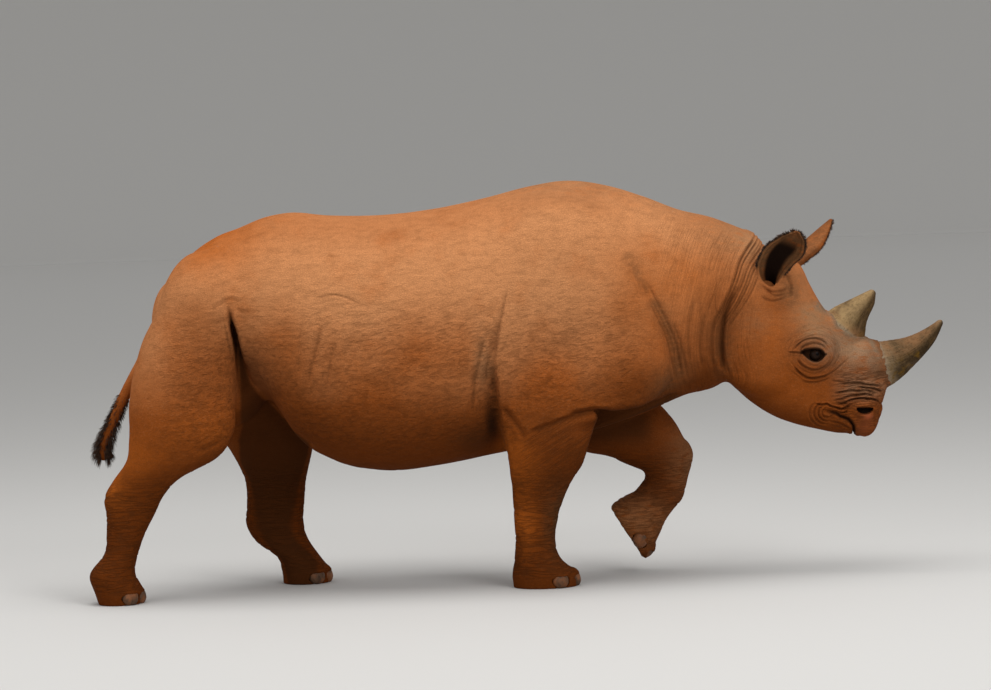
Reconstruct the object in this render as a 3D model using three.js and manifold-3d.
/**
 * Black rhinoceros (Diceros bicornis), a still life-size model in mid stride:
 * three feet on the ground and the left forefoot lifted.
 *
 * Millimetres. +X points towards the head, +Y to the animal's left, +Z up, and
 * the ground is the plane Z = 0.
 *
 * The flesh is described once, as a field of masses that blend into each
 * other. Each named part is a mesh of that one field, parted from its
 * neighbours by thin flat cuts. Horns, ears, eyes, tail and nails are lofted
 * pieces that sit in sockets of their own.
 */
import * as THREE from "three";
import { mergeVertices } from "three/addons/utils/BufferGeometryUtils.js";
import Module from "manifold-3d";

const wasm = await Module();
wasm.setup();

// ---------------------------------------------------------------- dimensions

const GAP = 0.4; // clear space between neighbouring parts

const SHOULDER = 1491; // height of the hump over the forelegs
const LOIN = 1387; // lowest height of the back
const CROUP = 1408; // height over the hips
const BELLY = 438; // lowest point of the belly
const HALF_GIRTH = 403; // half of the widest barrel

const HORN_FRONT_TIP = [1592, 0, 920];
const HORN_REAR_TIP = [1339, 0, 1044];

const EYE_AT = [1104, 0, 821]; // seen from the side; the skin gives how far out
const EYE_RADIUS = 24;
const EYE_SINK = 16;

// Nails: thickness, half width and half height, then how far they stand proud
// and how high their middle lies over the sole.
const NAIL_SIZE = { middle: [24, 44, 36], side: [22, 34, 32], proud: 7, level: 30 };

// Facet sizes of the meshed parts.
const FACET = { trunk: 100, neck: 84, head: 42, leg: 62, foot: 56 };

// Colours of skin, horn, nail, eye and the inside of the ear.
const SKIN = { color: 0x8a5a3c, roughness: 0.92, metalness: 0 };
const HORN = { color: 0x4b443b, roughness: 0.7, metalness: 0 };
const NAIL = { color: 0x6b5a4a, roughness: 0.75, metalness: 0 };
const EYE = { color: 0x1a1210, roughness: 0.12, metalness: 0 };

// ------------------------------------------------------------ small functions

const radians = THREE.MathUtils.degToRad;
const clamp = THREE.MathUtils.clamp;
const lerp = THREE.MathUtils.lerp;

/** The lower of two distances, rounded where they meet over the width k. */
function blend(a, b, k) {
  const h = clamp(0.5 + (0.5 * (b - a)) / k, 0, 1);
  return lerp(b, a, h) - k * h * (1 - h);
}

/** A smooth curve through rows of [place, ...values], kept as an even table. */
function curveTable(rows, samples = 96) {
  const width = rows[0].length - 1;
  const last = rows.length - 1;
  const slope = (i, c) => (rows[i + 1][c] - rows[i][c]) / (rows[i + 1][0] - rows[i][0]);
  const tangent = (i, c) => {
    if (i === 0) return slope(0, c);
    if (i === last) return slope(last - 1, c);
    const before = rows[i][0] - rows[i - 1][0];
    const after = rows[i + 1][0] - rows[i][0];
    return (slope(i - 1, c) * after + slope(i, c) * before) / (before + after);
  };
  const start = rows[0][0];
  const step = (rows[last][0] - start) / samples;
  const table = [];
  for (let n = 0, i = 0; n <= samples; n += 1) {
    const s = start + n * step;
    while (i < last - 1 && s > rows[i + 1][0]) i += 1;
    const h = rows[i + 1][0] - rows[i][0];
    const t = (s - rows[i][0]) / h;
    const values = [];
    for (let c = 1; c <= width; c += 1) {
      values.push(
        rows[i][c] * (2 * t ** 3 - 3 * t ** 2 + 1) +
          rows[i + 1][c] * (3 * t ** 2 - 2 * t ** 3) +
          h * tangent(i, c) * (t ** 3 - 2 * t ** 2 + t) +
          h * tangent(i + 1, c) * (t ** 3 - t ** 2),
      );
    }
    table.push(values);
  }
  return { start, step, end: rows[last][0], table };
}

function lookUp(curve, s, out) {
  const place = clamp((s - curve.start) / curve.step, 0, curve.table.length - 1.000001);
  const i = Math.floor(place);
  const t = place - i;
  const low = curve.table[i];
  const high = curve.table[i + 1];
  for (let c = 0; c < low.length; c += 1) out[c] = lerp(low[c], high[c], t);
}

// -------------------------------------------------------------------- masses

/**
 * Flesh with oval sections set along a straight axis. The axis leaves `origin`
 * along X, turned up by `pitch`. A row is [place, top, widest, bottom,
 * halfWidth, side]: heights of the section over the axis, then how far its
 * middle lies to the left.
 */
function sweep({ origin = [0, 0, 0], pitch = 0, rows, caps = [80, 80], bulge = 2.1, k = 60 }) {
  const curve = curveTable(rows);
  const c = Math.cos(radians(pitch));
  const s = Math.sin(radians(pitch));
  const row = [];
  const distance = (x, y, z) => {
    const dx = x - origin[0];
    const dz = z - origin[2];
    const along = dx * c + dz * s;
    const up = dz * c - dx * s;
    const held = clamp(along, curve.start, curve.end);
    lookUp(curve, held, row);
    const [top, widest, bottom, halfWidth, side = 0] = row;
    const height = up > widest ? top - widest : widest - bottom;
    const v = Math.abs(up - widest) / height;
    const w = Math.abs(y - origin[1] - side) / halfWidth;
    const e = Math.pow(Math.pow(v, bulge) + Math.pow(w, bulge) + 1e-9, 1 / bulge);
    const cap = along < held ? caps[0] : caps[1];
    const past = Math.abs(along - held) / cap;
    const reach = Math.sqrt(e * e + past * past);
    const g = Math.pow(e, 1 - bulge);
    const gv = (e * g * Math.pow(v, bulge - 1)) / height;
    const gw = (e * g * Math.pow(w, bulge - 1)) / halfWidth;
    const slope = Math.sqrt(gv * gv + gw * gw + (past / cap) ** 2) / Math.max(reach, 1e-6);
    return (reach - 1) / Math.max(slope, 1e-6);
  };
  return { distance, k };
}

/** Flesh along an upright axis. A row is [height, front, back, halfWidth, side]. */
function column({ rows, ...rest }) {
  const turned = rows.map(([height, front, back, halfWidth, side]) => {
    return [height, -back, -(front + back) / 2, -front, halfWidth, side];
  });
  return sweep({ pitch: 90, rows: turned, ...rest });
}

/** An oval muscle or lump, with its own tilt. */
function lump({ at, size, pitch = 0, yaw = 0, roll = 0, k = 60 }) {
  const turn = new THREE.Euler(radians(roll), -radians(pitch), radians(yaw), "ZYX");
  const m = new THREE.Matrix4().makeRotationFromEuler(turn).transpose().elements;
  const distance = (x, y, z) => {
    const dx = x - at[0];
    const dy = y - at[1];
    const dz = z - at[2];
    const a = (m[0] * dx + m[4] * dy + m[8] * dz) / size[0];
    const b = (m[1] * dx + m[5] * dy + m[9] * dz) / size[1];
    const c = (m[2] * dx + m[6] * dy + m[10] * dz) / size[2];
    const reach = Math.sqrt(a * a + b * b + c * c);
    const slope = Math.sqrt((a / size[0]) ** 2 + (b / size[1]) ** 2 + (c / size[2]) ** 2);
    return (reach * (reach - 1)) / Math.max(slope, 1e-9);
  };
  return { distance, k };
}

/** The same lump on both sides of the body. */
function pair(options) {
  const { at, yaw = 0, roll = 0 } = options;
  const other = { ...options, at: [at[0], -at[1], at[2]], yaw: -yaw, roll: -roll };
  return [lump(options), lump(other)];
}

// ------------------------------------------------------------- the animal

/** Barrel, rump and neck in one, with sections square to the ground. */
const torso = sweep({
  caps: [50, 110],
  k: 1,
  rows: [
    [-1270, 1140, 1050, 980, 105, 0], // behind the hips
    [-1200, 1246, 1090, 960, 205, 0],
    [-1110, 1320, 1115, 930, 275, 0], // hips
    [-1010, 1358, 1110, 870, 316, 0],
    [-920, 1392, 1050, 740, 346, 0],
    [-820, CROUP, 960, 575, 370, 0], // flank
    [-690, 1394, 900, 484, 390, 0],
    [-500, LOIN, 865, BELLY, HALF_GIRTH, 0], // belly
    [-290, 1403, 865, 452, HALF_GIRTH, 0],
    [-100, 1436, 880, 484, 382, 0],
    [80, 1476, 900, 515, 350, 0], // behind the shoulder blade
    [210, SHOULDER, 920, 545, 322, 0],
    [350, 1470, 940, 580, 292, 0],
    [490, 1424, 965, 625, 266, 0], // base of the neck
    [620, 1370, 985, 678, 242, 0],
    [750, 1334, 1010, 712, 222, 0],
    [860, 1288, 1040, 800, 198, 0], // nape
  ],
});

/** Pelvis and groin, between the thighs. */
const pelvis = lump({ at: [-1110, 0, 930], size: [235, 200, 320], k: 80 });

const hindRight = column({
  k: 55,
  caps: [60, 160],
  rows: [
    [-30, -1412, -1556, 84, -226],
    [45, -1399, -1578, 98, -226],
    [108, -1426, -1594, 92, -226],
    [185, -1411, -1537, 68, -226],
    [255, -1384, -1526, 64, -226],
    [330, -1343, -1524, 72, -226],
    [395, -1308, -1528, 80, -227],
    [455, -1246, -1492, 96, -228],
    [520, -1115, -1444, 122, -230],
    [600, -1050, -1429, 146, -230],
    [740, -1034, -1423, 158, -226],
    [880, -1030, -1394, 158, -216],
    [1010, -1045, -1342, 142, -196],
    [1110, -1070, -1262, 116, -168],
  ],
});

const hindLeft = column({
  k: 55,
  caps: [60, 160],
  rows: [
    [-30, -735, -908, 86, 236],
    [45, -732, -912, 98, 236],
    [100, -768, -930, 92, 236],
    [160, -806, -1004, 72, 234],
    [225, -823, -1040, 68, 232],
    [300, -818, -1036, 74, 230],
    [392, -807, -1038, 90, 230],
    [504, -780, -1086, 124, 230],
    [640, -770, -1180, 150, 228],
    [780, -830, -1270, 160, 224],
    [920, -930, -1325, 160, 212],
    [1040, -1010, -1290, 142, 192],
    [1110, -1070, -1240, 116, 168],
  ],
});

const foreRight = column({
  k: 45,
  caps: [60, 120],
  rows: [
    [-30, 199, -33, 98, -150],
    [45, 197, -41, 104, -150],
    [105, 138, -32, 88, -152],
    [160, 123, -26, 76, -156],
    [250, 134, -28, 74, -164],
    [325, 158, -30, 82, -172],
    [385, 187, -32, 90, -178],
    [455, 234, -46, 102, -188],
    [540, 268, -60, 118, -200],
    [640, 296, -74, 132, -214],
    [760, 330, -60, 136, -222],
  ],
});

/** Lifted forearm, from the elbow down and forward to the wrist. */
const liftedForearm = sweep({
  origin: [300, 200, 600],
  pitch: -36,
  k: 45,
  caps: [110, 70],
  rows: [
    [0, 190, 20, -155, 128, 4],
    [60, 182, 22, -134, 122, 2],
    [120, 173, 28, -107, 112, 0],
    [190, 162, 32, -94, 100, -4],
    [260, 142, 30, -78, 92, -8],
    [325, 108, 18, -70, 82, -10],
  ],
});

/** Lifted shin, hanging back from the wrist, with the foot at its end. */
const shin = sweep({
  origin: [560, 192, 400],
  pitch: -116,
  k: 30,
  caps: [60, 60],
  rows: [
    [-40, 74, 5, -70, 78, 0],
    [40, 94, 18, -60, 78, 0],
    [95, 101, 20, -62, 76, 0],
    [140, 88, 8, -76, 80, 0],
    [190, 78, -14, -116, 92, 0],
    [240, 78, -24, -136, 99, 0],
    [300, 76, -16, -128, 98, 0],
    [370, 72, -5, -110, 88, 0],
  ],
});

const LIFTED_SOLE = { at: [394, 156], pitch: -147.8 };

/** The shin ends at the flat sole, which faces back and down. */
const liftedShin = {
  k: shin.k,
  distance: (x, y, z) => {
    const { at, pitch } = LIFTED_SOLE;
    const beyond = (x - at[0]) * Math.cos(radians(pitch)) + (z - at[1]) * Math.sin(radians(pitch));
    return -blend(-beyond, -shin.distance(x, y, z), 16);
  },
};

/** Head, with sections square to a line from the nape to the muzzle. */
const HEAD_AT = [850, 0, 980];
const HEAD_PITCH = -34.5;
const skull = sweep({
  origin: HEAD_AT,
  pitch: HEAD_PITCH,
  k: 40,
  caps: [90, 26],
  rows: [
    [-60, 228, 60, -100, 165, 0], // nape
    [20, 252, 30, -196, 178, 0], // jaw corner
    [80, 262, 10, -240, 180, 0],
    [150, 222, -10, -258, 174, 0], // forehead
    [235, 178, -20, -267, 160, 0],
    [310, 148, -40, -264, 138, 0], // eyes
    [390, 140, -60, -246, 110, 0], // bridge between the horns
    [470, 168, -50, -218, 98, 0],
    [540, 126, -36, -190, 96, 0], // nostrils
    [590, 80, -50, -160, 88, 0],
    [622, -6, -74, -142, 64, 0], // lip
  ],
});

/** A place on the head: along it, out to the left and up from its axis. */
function onHead(along, left, up) {
  const c = Math.cos(radians(HEAD_PITCH));
  const s = Math.sin(radians(HEAD_PITCH));
  return [HEAD_AT[0] + along * c - up * s, left, HEAD_AT[2] + along * s + up * c];
}

const headLumps = [
  ...pair({ at: onHead(120, -98, -110), size: [150, 84, 135], pitch: HEAD_PITCH, k: 40 }), // cheek
  ...pair({ at: onHead(262, -96, 62), size: [92, 48, 46], pitch: HEAD_PITCH, k: 30 }), // brow
  ...pair({ at: onHead(30, -100, 178), size: [66, 56, 60], pitch: HEAD_PITCH, k: 40 }), // ear base
  ...pair({ at: onHead(560, -58, -60), size: [62, 44, 46], pitch: HEAD_PITCH, k: 26 }), // nostril
  lump({ at: onHead(468, 0, 98), size: [78, 86, 80], pitch: HEAD_PITCH, k: 30 }), // front horn boss
  lump({ at: onHead(322, 0, 108), size: [108, 74, 52], pitch: HEAD_PITCH - 8, k: 30 }), // rear horn boss
  lump({ at: onHead(600, 0, -108), size: [48, 58, 42], pitch: -70, k: 26 }), // pointed upper lip
];

const shoulders = [
  ...pair({ at: [215, -176, 1010], size: [300, 182, 420], pitch: 14, k: 90 }), // shoulder blade
  ...pair({ at: [250, -218, 765], size: [312, 146, 190], pitch: 14, k: 60 }), // upper arm
];

const thighs = [
  ...pair({ at: [-1085, -205, 1060], size: [215, 150, 200], pitch: -10, k: 60 }), // haunch
];

const MASSES = [
  torso,
  pelvis,
  ...shoulders,
  ...thighs,
  hindRight,
  hindLeft,
  foreRight,
  liftedForearm,
  liftedShin,
  skull,
  ...headLumps,
];

/** Distance from the skin, negative inside. */
function flesh(x, y, z) {
  let d = 1e4;
  for (const mass of MASSES) d = blend(d, mass.distance(x, y, z), mass.k);
  return d;
}

/** The first skin that a line meets as it runs in from outside. */
function reachSkin(from, direction) {
  const p = new THREE.Vector3(...from);
  const step = new THREE.Vector3(...direction).normalize();
  for (let i = 0; i < 60; i += 1) {
    const d = flesh(p.x, p.y, p.z);
    if (Math.abs(d) < 0.05) break;
    p.addScaledVector(step, d * 0.8);
  }
  return p;
}

// ----------------------------------------------------------------- the mesher

/** Moves a point along the field's slope until it lies on the skin. */
function settle(p, field) {
  const e = 0.5;
  for (let pass = 0; pass < 4; pass += 1) {
    const d = field(p[0], p[1], p[2]);
    const gx = (field(p[0] + e, p[1], p[2]) - field(p[0] - e, p[1], p[2])) / (2 * e);
    const gy = (field(p[0], p[1] + e, p[2]) - field(p[0], p[1] - e, p[2])) / (2 * e);
    const gz = (field(p[0], p[1], p[2] + e) - field(p[0], p[1], p[2] - e)) / (2 * e);
    const step = clamp(d / Math.max(gx * gx + gy * gy + gz * gz, 0.25), -12, 12);
    p[0] -= step * gx;
    p[1] -= step * gy;
    p[2] -= step * gz;
  }
}

/** Whether every edge of a triangle list joins exactly two triangles. */
function isTwoSided(faces) {
  const count = new Map();
  for (let i = 0; i < faces.length; i += 1) {
    const a = faces[i];
    const b = faces[i % 3 === 2 ? i - 2 : i + 1];
    const key = a < b ? `${a} ${b}` : `${b} ${a}`;
    count.set(key, (count.get(key) ?? 0) + 1);
  }
  return [...count.values()].every((uses) => uses === 2);
}

/**
 * A closed surface of the flesh inside a box. Where two folds share a cell, its
 * edges would join four faces, so the grid is shifted until no cell does.
 */
function meshFlesh(low, high, cell) {
  for (let shift = 0; shift < 12; shift += 1) {
    const start = low.map((value, i) => value + (cell * ((shift * (i + 2)) % 7)) / 7);
    const { points, faces } = surfaceNet(flesh, start, high, cell);
    if (isTwoSided(faces)) return toSolid(points, faces);
  }
  throw new Error("no grid gives a clean surface here");
}

/** Surface of a field inside a box, by surface nets on cubic cells. */
function surfaceNet(field, low, high, cell) {
  const n = [0, 1, 2].map((i) => Math.ceil((high[i] - low[i]) / cell) + 1);
  const at = (i, j, k) => (k * n[1] + j) * n[0] + i;
  const value = new Float64Array(n[0] * n[1] * n[2]).fill(1);
  for (let k = 1; k < n[2] - 1; k += 1) {
    for (let j = 1; j < n[1] - 1; j += 1) {
      for (let i = 1; i < n[0] - 1; i += 1) {
        value[at(i, j, k)] = field(low[0] + i * cell, low[1] + j * cell, low[2] + k * cell);
      }
    }
  }
  const vertex = new Int32Array(value.length).fill(-1);
  const points = [];
  for (let k = 0; k < n[2] - 1; k += 1) {
    for (let j = 0; j < n[1] - 1; j += 1) {
      for (let i = 0; i < n[0] - 1; i += 1) {
        const sum = [0, 0, 0];
        let crossings = 0;
        for (let axis = 0; axis < 3; axis += 1) {
          for (let corner = 0; corner < 4; corner += 1) {
            const a = [0, 0, 0];
            a[(axis + 1) % 3] = corner & 1;
            a[(axis + 2) % 3] = corner >> 1;
            const b = [...a];
            b[axis] = 1;
            const va = value[at(i + a[0], j + a[1], k + a[2])];
            const vb = value[at(i + b[0], j + b[1], k + b[2])];
            if (va < 0 === vb < 0) continue;
            a[axis] = va / (va - vb);
            for (let c = 0; c < 3; c += 1) sum[c] += a[c];
            crossings += 1;
          }
        }
        if (!crossings) continue;
        const p = [
          low[0] + (i + sum[0] / crossings) * cell,
          low[1] + (j + sum[1] / crossings) * cell,
          low[2] + (k + sum[2] / crossings) * cell,
        ];
        settle(p, field);
        vertex[at(i, j, k)] = points.length / 3;
        points.push(...p);
      }
    }
  }
  const faces = [];
  const gapBetween = (a, b) => {
    return Math.hypot(
      points[3 * a] - points[3 * b],
      points[3 * a + 1] - points[3 * b + 1],
      points[3 * a + 2] - points[3 * b + 2],
    );
  };
  const quad = (a, b, c, d) => {
    if (gapBetween(a, c) < gapBetween(b, d)) faces.push(a, b, c, a, c, d);
    else faces.push(b, c, d, b, d, a);
  };
  const steps = [
    [1, 0, 0],
    [0, 1, 0],
    [0, 0, 1],
  ];
  for (let k = 0; k < n[2] - 1; k += 1) {
    for (let j = 0; j < n[1] - 1; j += 1) {
      for (let i = 0; i < n[0] - 1; i += 1) {
        const place = [i, j, k];
        const inside = value[at(i, j, k)] < 0;
        for (let axis = 0; axis < 3; axis += 1) {
          if (place[(axis + 1) % 3] === 0 || place[(axis + 2) % 3] === 0) continue;
          const [dx, dy, dz] = steps[axis];
          if (inside === value[at(i + dx, j + dy, k + dz)] < 0) continue;
          const u = steps[(axis + 1) % 3];
          const v = steps[(axis + 2) % 3];
          const ring = [
            vertex[at(i, j, k)],
            vertex[at(i - u[0], j - u[1], k - u[2])],
            vertex[at(i - u[0] - v[0], j - u[1] - v[1], k - u[2] - v[2])],
            vertex[at(i - v[0], j - v[1], k - v[2])],
          ];
          if (inside) quad(...ring);
          else quad(...ring.reverse());
        }
      }
    }
  }
  return { points, faces };
}

function toSolid(points, faces) {
  return new wasm.Manifold(
    new wasm.Mesh({
      numProp: 3,
      vertProperties: new Float32Array(points),
      triVerts: new Uint32Array(faces),
    }),
  );
}

/** A three.js geometry as a solid, with its shared corners merged. */
function geometryToSolid(geometry) {
  const bare = geometry.clone();
  bare.deleteAttribute("normal");
  bare.deleteAttribute("uv");
  const merged = mergeVertices(bare, 1e-4);
  return toSolid(merged.attributes.position.array, merged.index.array);
}

// ------------------------------------------------------------- cutting blocks

/** A block that stands `depth` deep behind a plane facing along `normal`. */
function halfSpace(point, pitch, grow = 0, depth = 4000) {
  const block = new THREE.BoxGeometry(depth, depth, depth);
  block.translate(-depth / 2 + grow, 0, 0);
  block.rotateY(-radians(pitch));
  block.translate(...point);
  return geometryToSolid(block);
}

/** A block between two corners, grown by `grow` on every side. */
function block(low, high, grow = 0) {
  const box = new THREE.BoxGeometry(...[0, 1, 2].map((i) => high[i] - low[i] + 2 * grow));
  box.translate(...[0, 1, 2].map((i) => (high[i] + low[i]) / 2));
  return geometryToSolid(box);
}

// -------------------------------------------------------------- lofted pieces

/**
 * A closed skin over rings of equal length, each a list of Vector3. An end is
 * closed from its middle, or by a strip across the wall of a C section.
 */
function loft(rings, ends = "hub") {
  const size = rings[0].length;
  const points = [];
  const faces = [];
  for (const ring of rings) for (const p of ring) points.push(p.x, p.y, p.z);
  for (let r = 0; r < rings.length - 1; r += 1) {
    for (let i = 0; i < size; i += 1) {
      const a = r * size + i;
      const b = r * size + ((i + 1) % size);
      faces.push(a, b, b + size, a, b + size, a + size);
    }
  }
  for (const end of [0, rings.length - 1]) {
    if (ends === "strip") {
      for (let i = 0; i < size / 2 - 1; i += 1) {
        const a = end * size + i;
        const b = end * size + size - 1 - i;
        if (end === 0) faces.push(a, b, b - 1, a, b - 1, a + 1);
        else faces.push(a, b - 1, b, a, a + 1, b - 1);
      }
      continue;
    }
    const middle = rings[end].reduce((m, p) => m.add(p), new THREE.Vector3()).divideScalar(size);
    const hub = points.length / 3;
    points.push(middle.x, middle.y, middle.z);
    for (let i = 0; i < size; i += 1) {
      const a = end * size + i;
      const b = end * size + ((i + 1) % size);
      if (end === 0) faces.push(hub, b, a);
      else faces.push(hub, a, b);
    }
  }
  const solid = toSolid(points, faces);
  return solid.volume() > 0 ? solid : toSolid(points, faces.reverse());
}

/** An oval ring about `middle`, flat across `along`, `fore` deep and `wide`. */
function ovalRing(middle, along, fore, wide, sides) {
  const left = new THREE.Vector3(0, 1, 0);
  const front = new THREE.Vector3().crossVectors(left, along).normalize();
  const ring = [];
  for (let i = 0; i < sides; i += 1) {
    const angle = (i / sides) * 2 * Math.PI;
    const p = middle.clone();
    p.addScaledVector(front, fore * Math.cos(angle)).addScaledVector(left, wide * Math.sin(angle));
    ring.push(p);
  }
  return ring;
}

/** A horn on a bent line, thinning from an oval base to its tip. */
function horn({ line, base, tip, fullness, grow }) {
  const path = new THREE.QuadraticBezierCurve3(...line.map((p) => new THREE.Vector3(...p)));
  const steps = 7;
  const sides = 12;
  const rings = [];
  for (let r = 0; r <= steps; r += 1) {
    const t = r / steps;
    const keep = 1 - Math.pow(t, fullness);
    const middle = path.getPoint(t);
    const along = path.getTangent(t);
    if (r === 0) middle.addScaledVector(along, -grow);
    const fore = lerp(tip, base[0], keep) + grow;
    const wide = lerp(tip, base[1], keep) + grow;
    rings.push(ovalRing(middle, along, fore, wide, sides));
  }
  return loft(rings);
}

const hornFront = (grow) => {
  return horn({
    line: [[1350, 0, 767], [1490, 0, 790], HORN_FRONT_TIP],
    base: [89, 80],
    tip: 6,
    fullness: 0.97,
    grow,
  });
};

const hornRear = (grow) => {
  return horn({
    line: [[1214, 0, 893], [1290, 0, 975], HORN_REAR_TIP],
    base: [98, 72],
    tip: 6,
    fullness: 1.1,
    grow,
  });
};

/**
 * An ear: a rolled leaf, closed to a tube at its root and open above. Each
 * section is a C with a wall between an outer and an inner arc. As a plug it is
 * the solid root alone, grown to make the socket that the ear sits in.
 */
function ear({ root, tip, opening, shape, grow, plug }) {
  const profile = curveTable(shape);
  const start = new THREE.Vector3(...root);
  const axis = new THREE.Vector3(...tip).sub(start);
  const length = axis.length();
  axis.normalize();
  const front = new THREE.Vector3(...opening).projectOnPlane(axis).normalize();
  const side = new THREE.Vector3().crossVectors(axis, front);
  const arcSteps = 8;
  const row = [];
  const rings = [];
  const steps = 9;
  for (let r = 0; r <= (plug ? 4 : steps); r += 1) {
    const t = r / steps;
    lookUp(profile, t, row);
    const [halfWidth, depth, halfAngle, shift] = row;
    const wall = lerp(12, 7, t);
    const middle = start.clone().addScaledVector(axis, t * length);
    middle.addScaledVector(front, depth - lerp(34, 12, t)); // the back runs straight
    middle.addScaledVector(side, shift);
    if (r === 0) middle.addScaledVector(axis, -grow);
    const arcPoint = (angle, inset) => {
      const p = middle.clone();
      p.addScaledVector(side, (halfWidth - inset) * Math.sin(angle));
      p.addScaledVector(front, (inset - depth) * Math.cos(angle));
      return p;
    };
    const arc = (inset) => {
      const points = [];
      for (let i = -arcSteps; i <= arcSteps; i += 2) {
        points.push(arcPoint((radians(halfAngle) * i) / arcSteps, inset));
      }
      return points;
    };
    rings.push(plug ? arc(-grow) : [...arc(0), ...arc(wall).reverse()]);
  }
  return loft(rings, plug ? "hub" : "strip");
}

// Rows of a shape: place, half width, depth, half angle of the C, shift aside.
const EARS = {
  ear_right: {
    root: [930, -112, 1076],
    tip: [1046, -226, 1274],
    opening: [0.3, -1, 0.1],
    shape: [
      [0, 28, 32, 172, 4],
      [0.18, 35, 42, 158, -21],
      [0.36, 48, 52, 128, -36],
      [0.54, 60, 57, 108, -36],
      [0.7, 72, 54, 96, -27],
      [0.84, 57, 42, 90, -17],
      [0.94, 36, 28, 86, -9],
      [1, 12, 12, 84, -4],
    ],
  },
  ear_left: {
    root: [976, 108, 1098],
    tip: [1206, 190, 1299],
    opening: [0.8, 0.1, -0.6],
    shape: [
      [0, 38, 30, 172, 0],
      [0.2, 50, 38, 156, 0],
      [0.4, 66, 41, 124, 0],
      [0.6, 72, 44, 104, 0],
      [0.7, 68, 40, 98, 0],
      [0.8, 62, 31, 92, 0],
      [0.93, 38, 16, 86, 0],
      [1, 12, 8, 84, 0],
    ],
  },
};

const TAIL_LINE = [
  [-1240, 0, 1040],
  [-1335, 0, 950],
  [-1400, 0, 850],
  [-1462, 0, 745],
  [-1513, 0, 640],
  [-1546, 0, 565],
  [-1548, 0, 525],
];

function tail(grow) {
  const path = new THREE.CatmullRomCurve3(TAIL_LINE.map((p) => new THREE.Vector3(...p)));
  const rings = [];
  const steps = 9;
  for (let r = 0; r <= steps; r += 1) {
    const t = r / steps;
    const fore = r === steps ? 9 : lerp(36, 17, Math.sqrt(t)) + grow;
    const middle = path.getPoint(t);
    if (r === 0) middle.addScaledVector(path.getTangent(0), -grow);
    rings.push(ovalRing(middle, path.getTangent(t), fore, fore * 0.9, 8));
  }
  return loft(rings);
}

/** An eyeball sunk in the head so that a low cap of it shows. */
function eye(side, grow) {
  const [x, , z] = EYE_AT;
  const skin = reachSkin([x, side * 400, z], [0, -side, 0]);
  const ball = new THREE.SphereGeometry(EYE_RADIUS + grow, 8, 6);
  ball.translate(x, skin.y - side * EYE_SINK, z);
  return geometryToSolid(ball);
}

/** A nail set into a foot at `bearing` degrees from the toe's direction. */
function nail(foot, bearing, grow) {
  const toe = new THREE.Vector3(Math.cos(radians(foot.pitch)), 0, Math.sin(radians(foot.pitch)));
  const up = new THREE.Vector3(-toe.z, 0, toe.x);
  const out = toe.clone().multiplyScalar(Math.cos(radians(bearing)));
  out.y += Math.sin(radians(bearing));
  const size = bearing === 0 ? NAIL_SIZE.middle : NAIL_SIZE.side;
  const level = new THREE.Vector3(...foot.at).addScaledVector(up, NAIL_SIZE.level);
  const far = level.clone().addScaledVector(out, 260);
  const skin = reachSkin(far.toArray(), out.clone().negate().toArray());
  const shape = new THREE.SphereGeometry(1, 8, 6);
  shape.rotateX(Math.PI / 2);
  shape.scale(size[0] + grow, size[1] + grow, size[2] + grow);
  const across = new THREE.Vector3().crossVectors(up, out);
  const lean = up.clone().addScaledVector(out, -0.35).normalize();
  const face = new THREE.Vector3().crossVectors(across, lean);
  shape.applyMatrix4(new THREE.Matrix4().makeBasis(face, across, lean));
  skin.addScaledVector(out, NAIL_SIZE.proud - size[0]);
  shape.translate(skin.x, skin.y, skin.z);
  return geometryToSolid(shape);
}

// ------------------------------------------------------------------ assembly

const group = new THREE.Group();

function addPart(name, solid, finish) {
  const mesh = solid.getMesh();
  const geometry = new THREE.BufferGeometry();
  geometry.setAttribute("position", new THREE.BufferAttribute(mesh.vertProperties, 3));
  geometry.setIndex(new THREE.BufferAttribute(mesh.triVerts, 1));
  geometry.computeVertexNormals();
  const part = new THREE.Mesh(geometry, new THREE.MeshStandardMaterial(finish));
  part.name = name;
  group.add(part);
}

/** Subtracts each solid of a list. */
const carve = (solid, cutters) => cutters.reduce((rest, cutter) => rest.subtract(cutter), solid);

// Cutting planes that part the neck from the trunk and the head from the neck.
const NECK_CUT = { at: [505, 0, 1060], pitch: 15.7 };
const HEAD_CUT = { at: [812, 0, 1050], pitch: -15.1 };

// Each leg lies in an upright box under a sloping roof, and its foot starts at
// the ankle plane.
const LEGS = {
  front_right: {
    low: [-64, -420, -90],
    high: [352, -62, 700],
    roof: { at: [110, 0, 560], pitch: 107 },
    foot: { at: [85, -150, 0], pitch: 0 },
    ankle: { at: [60, -150, 150], pitch: -90 },
  },
  front_left: {
    low: [150, 62, -90],
    high: [720, 420, 700],
    roof: { at: [400, 0, 606], pitch: 102 },
    foot: { at: [394, 192, 156], pitch: -57.8 },
    ankle: { at: [481, 192, 238], pitch: -116 },
  },
  hind_right: {
    low: [-1680, -440, -90],
    high: [-985, -GAP / 2, 1000],
    roof: { at: [-1230, 0, 750], pitch: 76 },
    foot: { at: [-1486, -226, 0], pitch: 0 },
    ankle: { at: [-1480, -226, 150], pitch: -90 },
  },
  hind_left: {
    low: [-1400, GAP / 2, -90],
    high: [-742, 440, 1000],
    roof: { at: [-1040, 0, 735], pitch: 70 },
    foot: { at: [-822, 236, 0], pitch: 0 },
    ankle: { at: [-850, 234, 150], pitch: -90 },
  },
};

const ground = block([-3000, -1000, -500], [3000, 1000, 0]);
const region = (low, high, cell) => meshFlesh(low, high, cell).subtract(ground);
const before = (cut, grow = -GAP / 2) => halfSpace(cut.at, cut.pitch, grow);

const legBlocks = {};
for (const [name, { low, high, roof }] of Object.entries(LEGS)) {
  legBlocks[name] = (grow) => block(low, high, grow).intersect(before(roof, grow));
}
const allLegBlocks = Object.values(legBlocks).map((make) => make(GAP));

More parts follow.
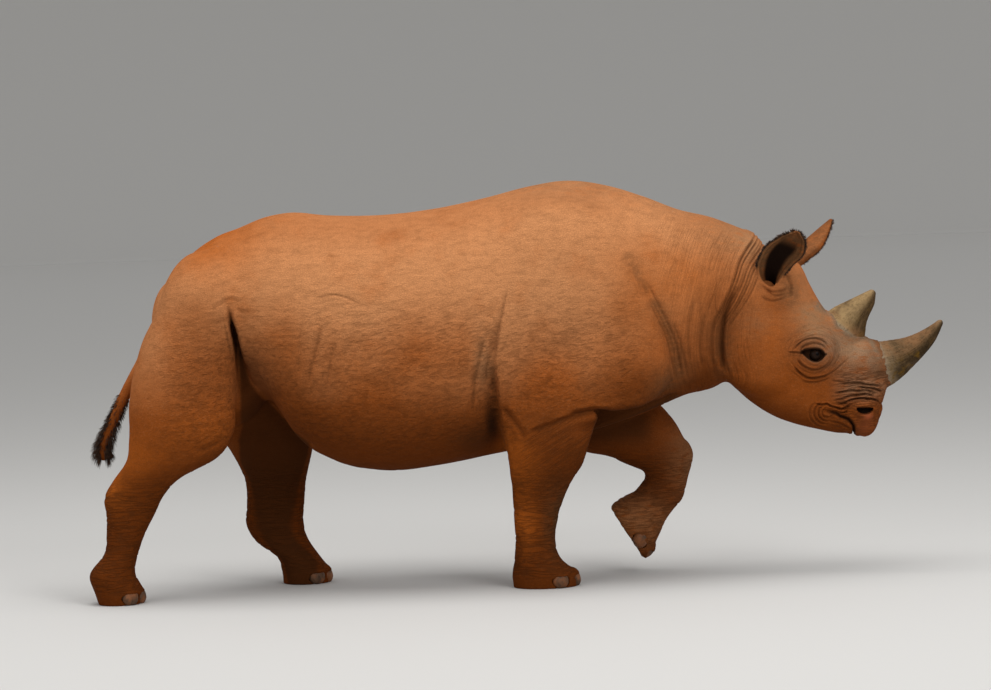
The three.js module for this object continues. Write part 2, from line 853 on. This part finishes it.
const trunk = carve(region([-1500, -560, 330], [760, 560, 1620], FACET.trunk), [
  ...allLegBlocks,
  tail(GAP),
]);
addPart("trunk", trunk.intersect(before(NECK_CUT)), SKIN);

const neck = carve(region([300, -420, 560], [1000, 420, 1540], FACET.neck), [
  ...allLegBlocks,
  before(NECK_CUT, GAP / 2),
]);
addPart("neck", neck.intersect(before(HEAD_CUT)), SKIN);

const headPieces = {
  horn_front: hornFront,
  horn_rear: hornRear,
  eye_right: (grow) => eye(-1, grow),
  eye_left: (grow) => eye(1, grow),
};
const head = carve(region([660, -300, 460], [1450, 300, 1340], FACET.head), [
  before(HEAD_CUT, GAP / 2),
  ...Object.values(headPieces).map((make) => make(GAP)),
  ...Object.values(EARS).map((place) => ear({ ...place, grow: GAP, plug: true })),
]);
addPart("head", head, SKIN);
addPart("horn_front", hornFront(0), HORN);
addPart("horn_rear", hornRear(0), HORN);
addPart("eye_right", eye(-1, 0), EYE);
addPart("eye_left", eye(1, 0), EYE);
for (const [name, place] of Object.entries(EARS)) {
  addPart(name, ear({ ...place, grow: 0, plug: false }), SKIN);
}
addPart("tail", tail(0), SKIN);

for (const [name, { low, high, foot, ankle }] of Object.entries(LEGS)) {
  const margin = 2 * FACET.leg;
  const from = low.map((value) => value - margin);
  const to = high.map((value) => value + margin);
  const leg = region(from, to, FACET.leg).intersect(legBlocks[name](0));
  addPart(`leg_${name}`, leg.intersect(halfSpace(ankle.at, ankle.pitch, -GAP / 2)), SKIN);

  const [fx, fy, fz] = foot.at;
  const around = 210;
  const near = [fx - around, fy - around, Math.max(fz - around, -90)];
  const far = [fx + around, fy + around, fz + around];
  const bearings = { inner: 58, middle: 0, outer: -58 };
  const nails = Object.entries(bearings).map(([place, bearing]) => {
    return [place, (grow) => nail(foot, fy < 0 ? bearing : -bearing, grow).subtract(ground)];
  });
  const sole = region(near, far, FACET.foot).intersect(legBlocks[name](0));
  const cuts = [before(ankle, GAP / 2), ...nails.map(([, make]) => make(GAP))];
  addPart(`foot_${name}`, carve(sole, cuts), SKIN);
  for (const [place, make] of nails) addPart(`nail_${name}_${place}`, make(0), NAIL);
}

export default group;
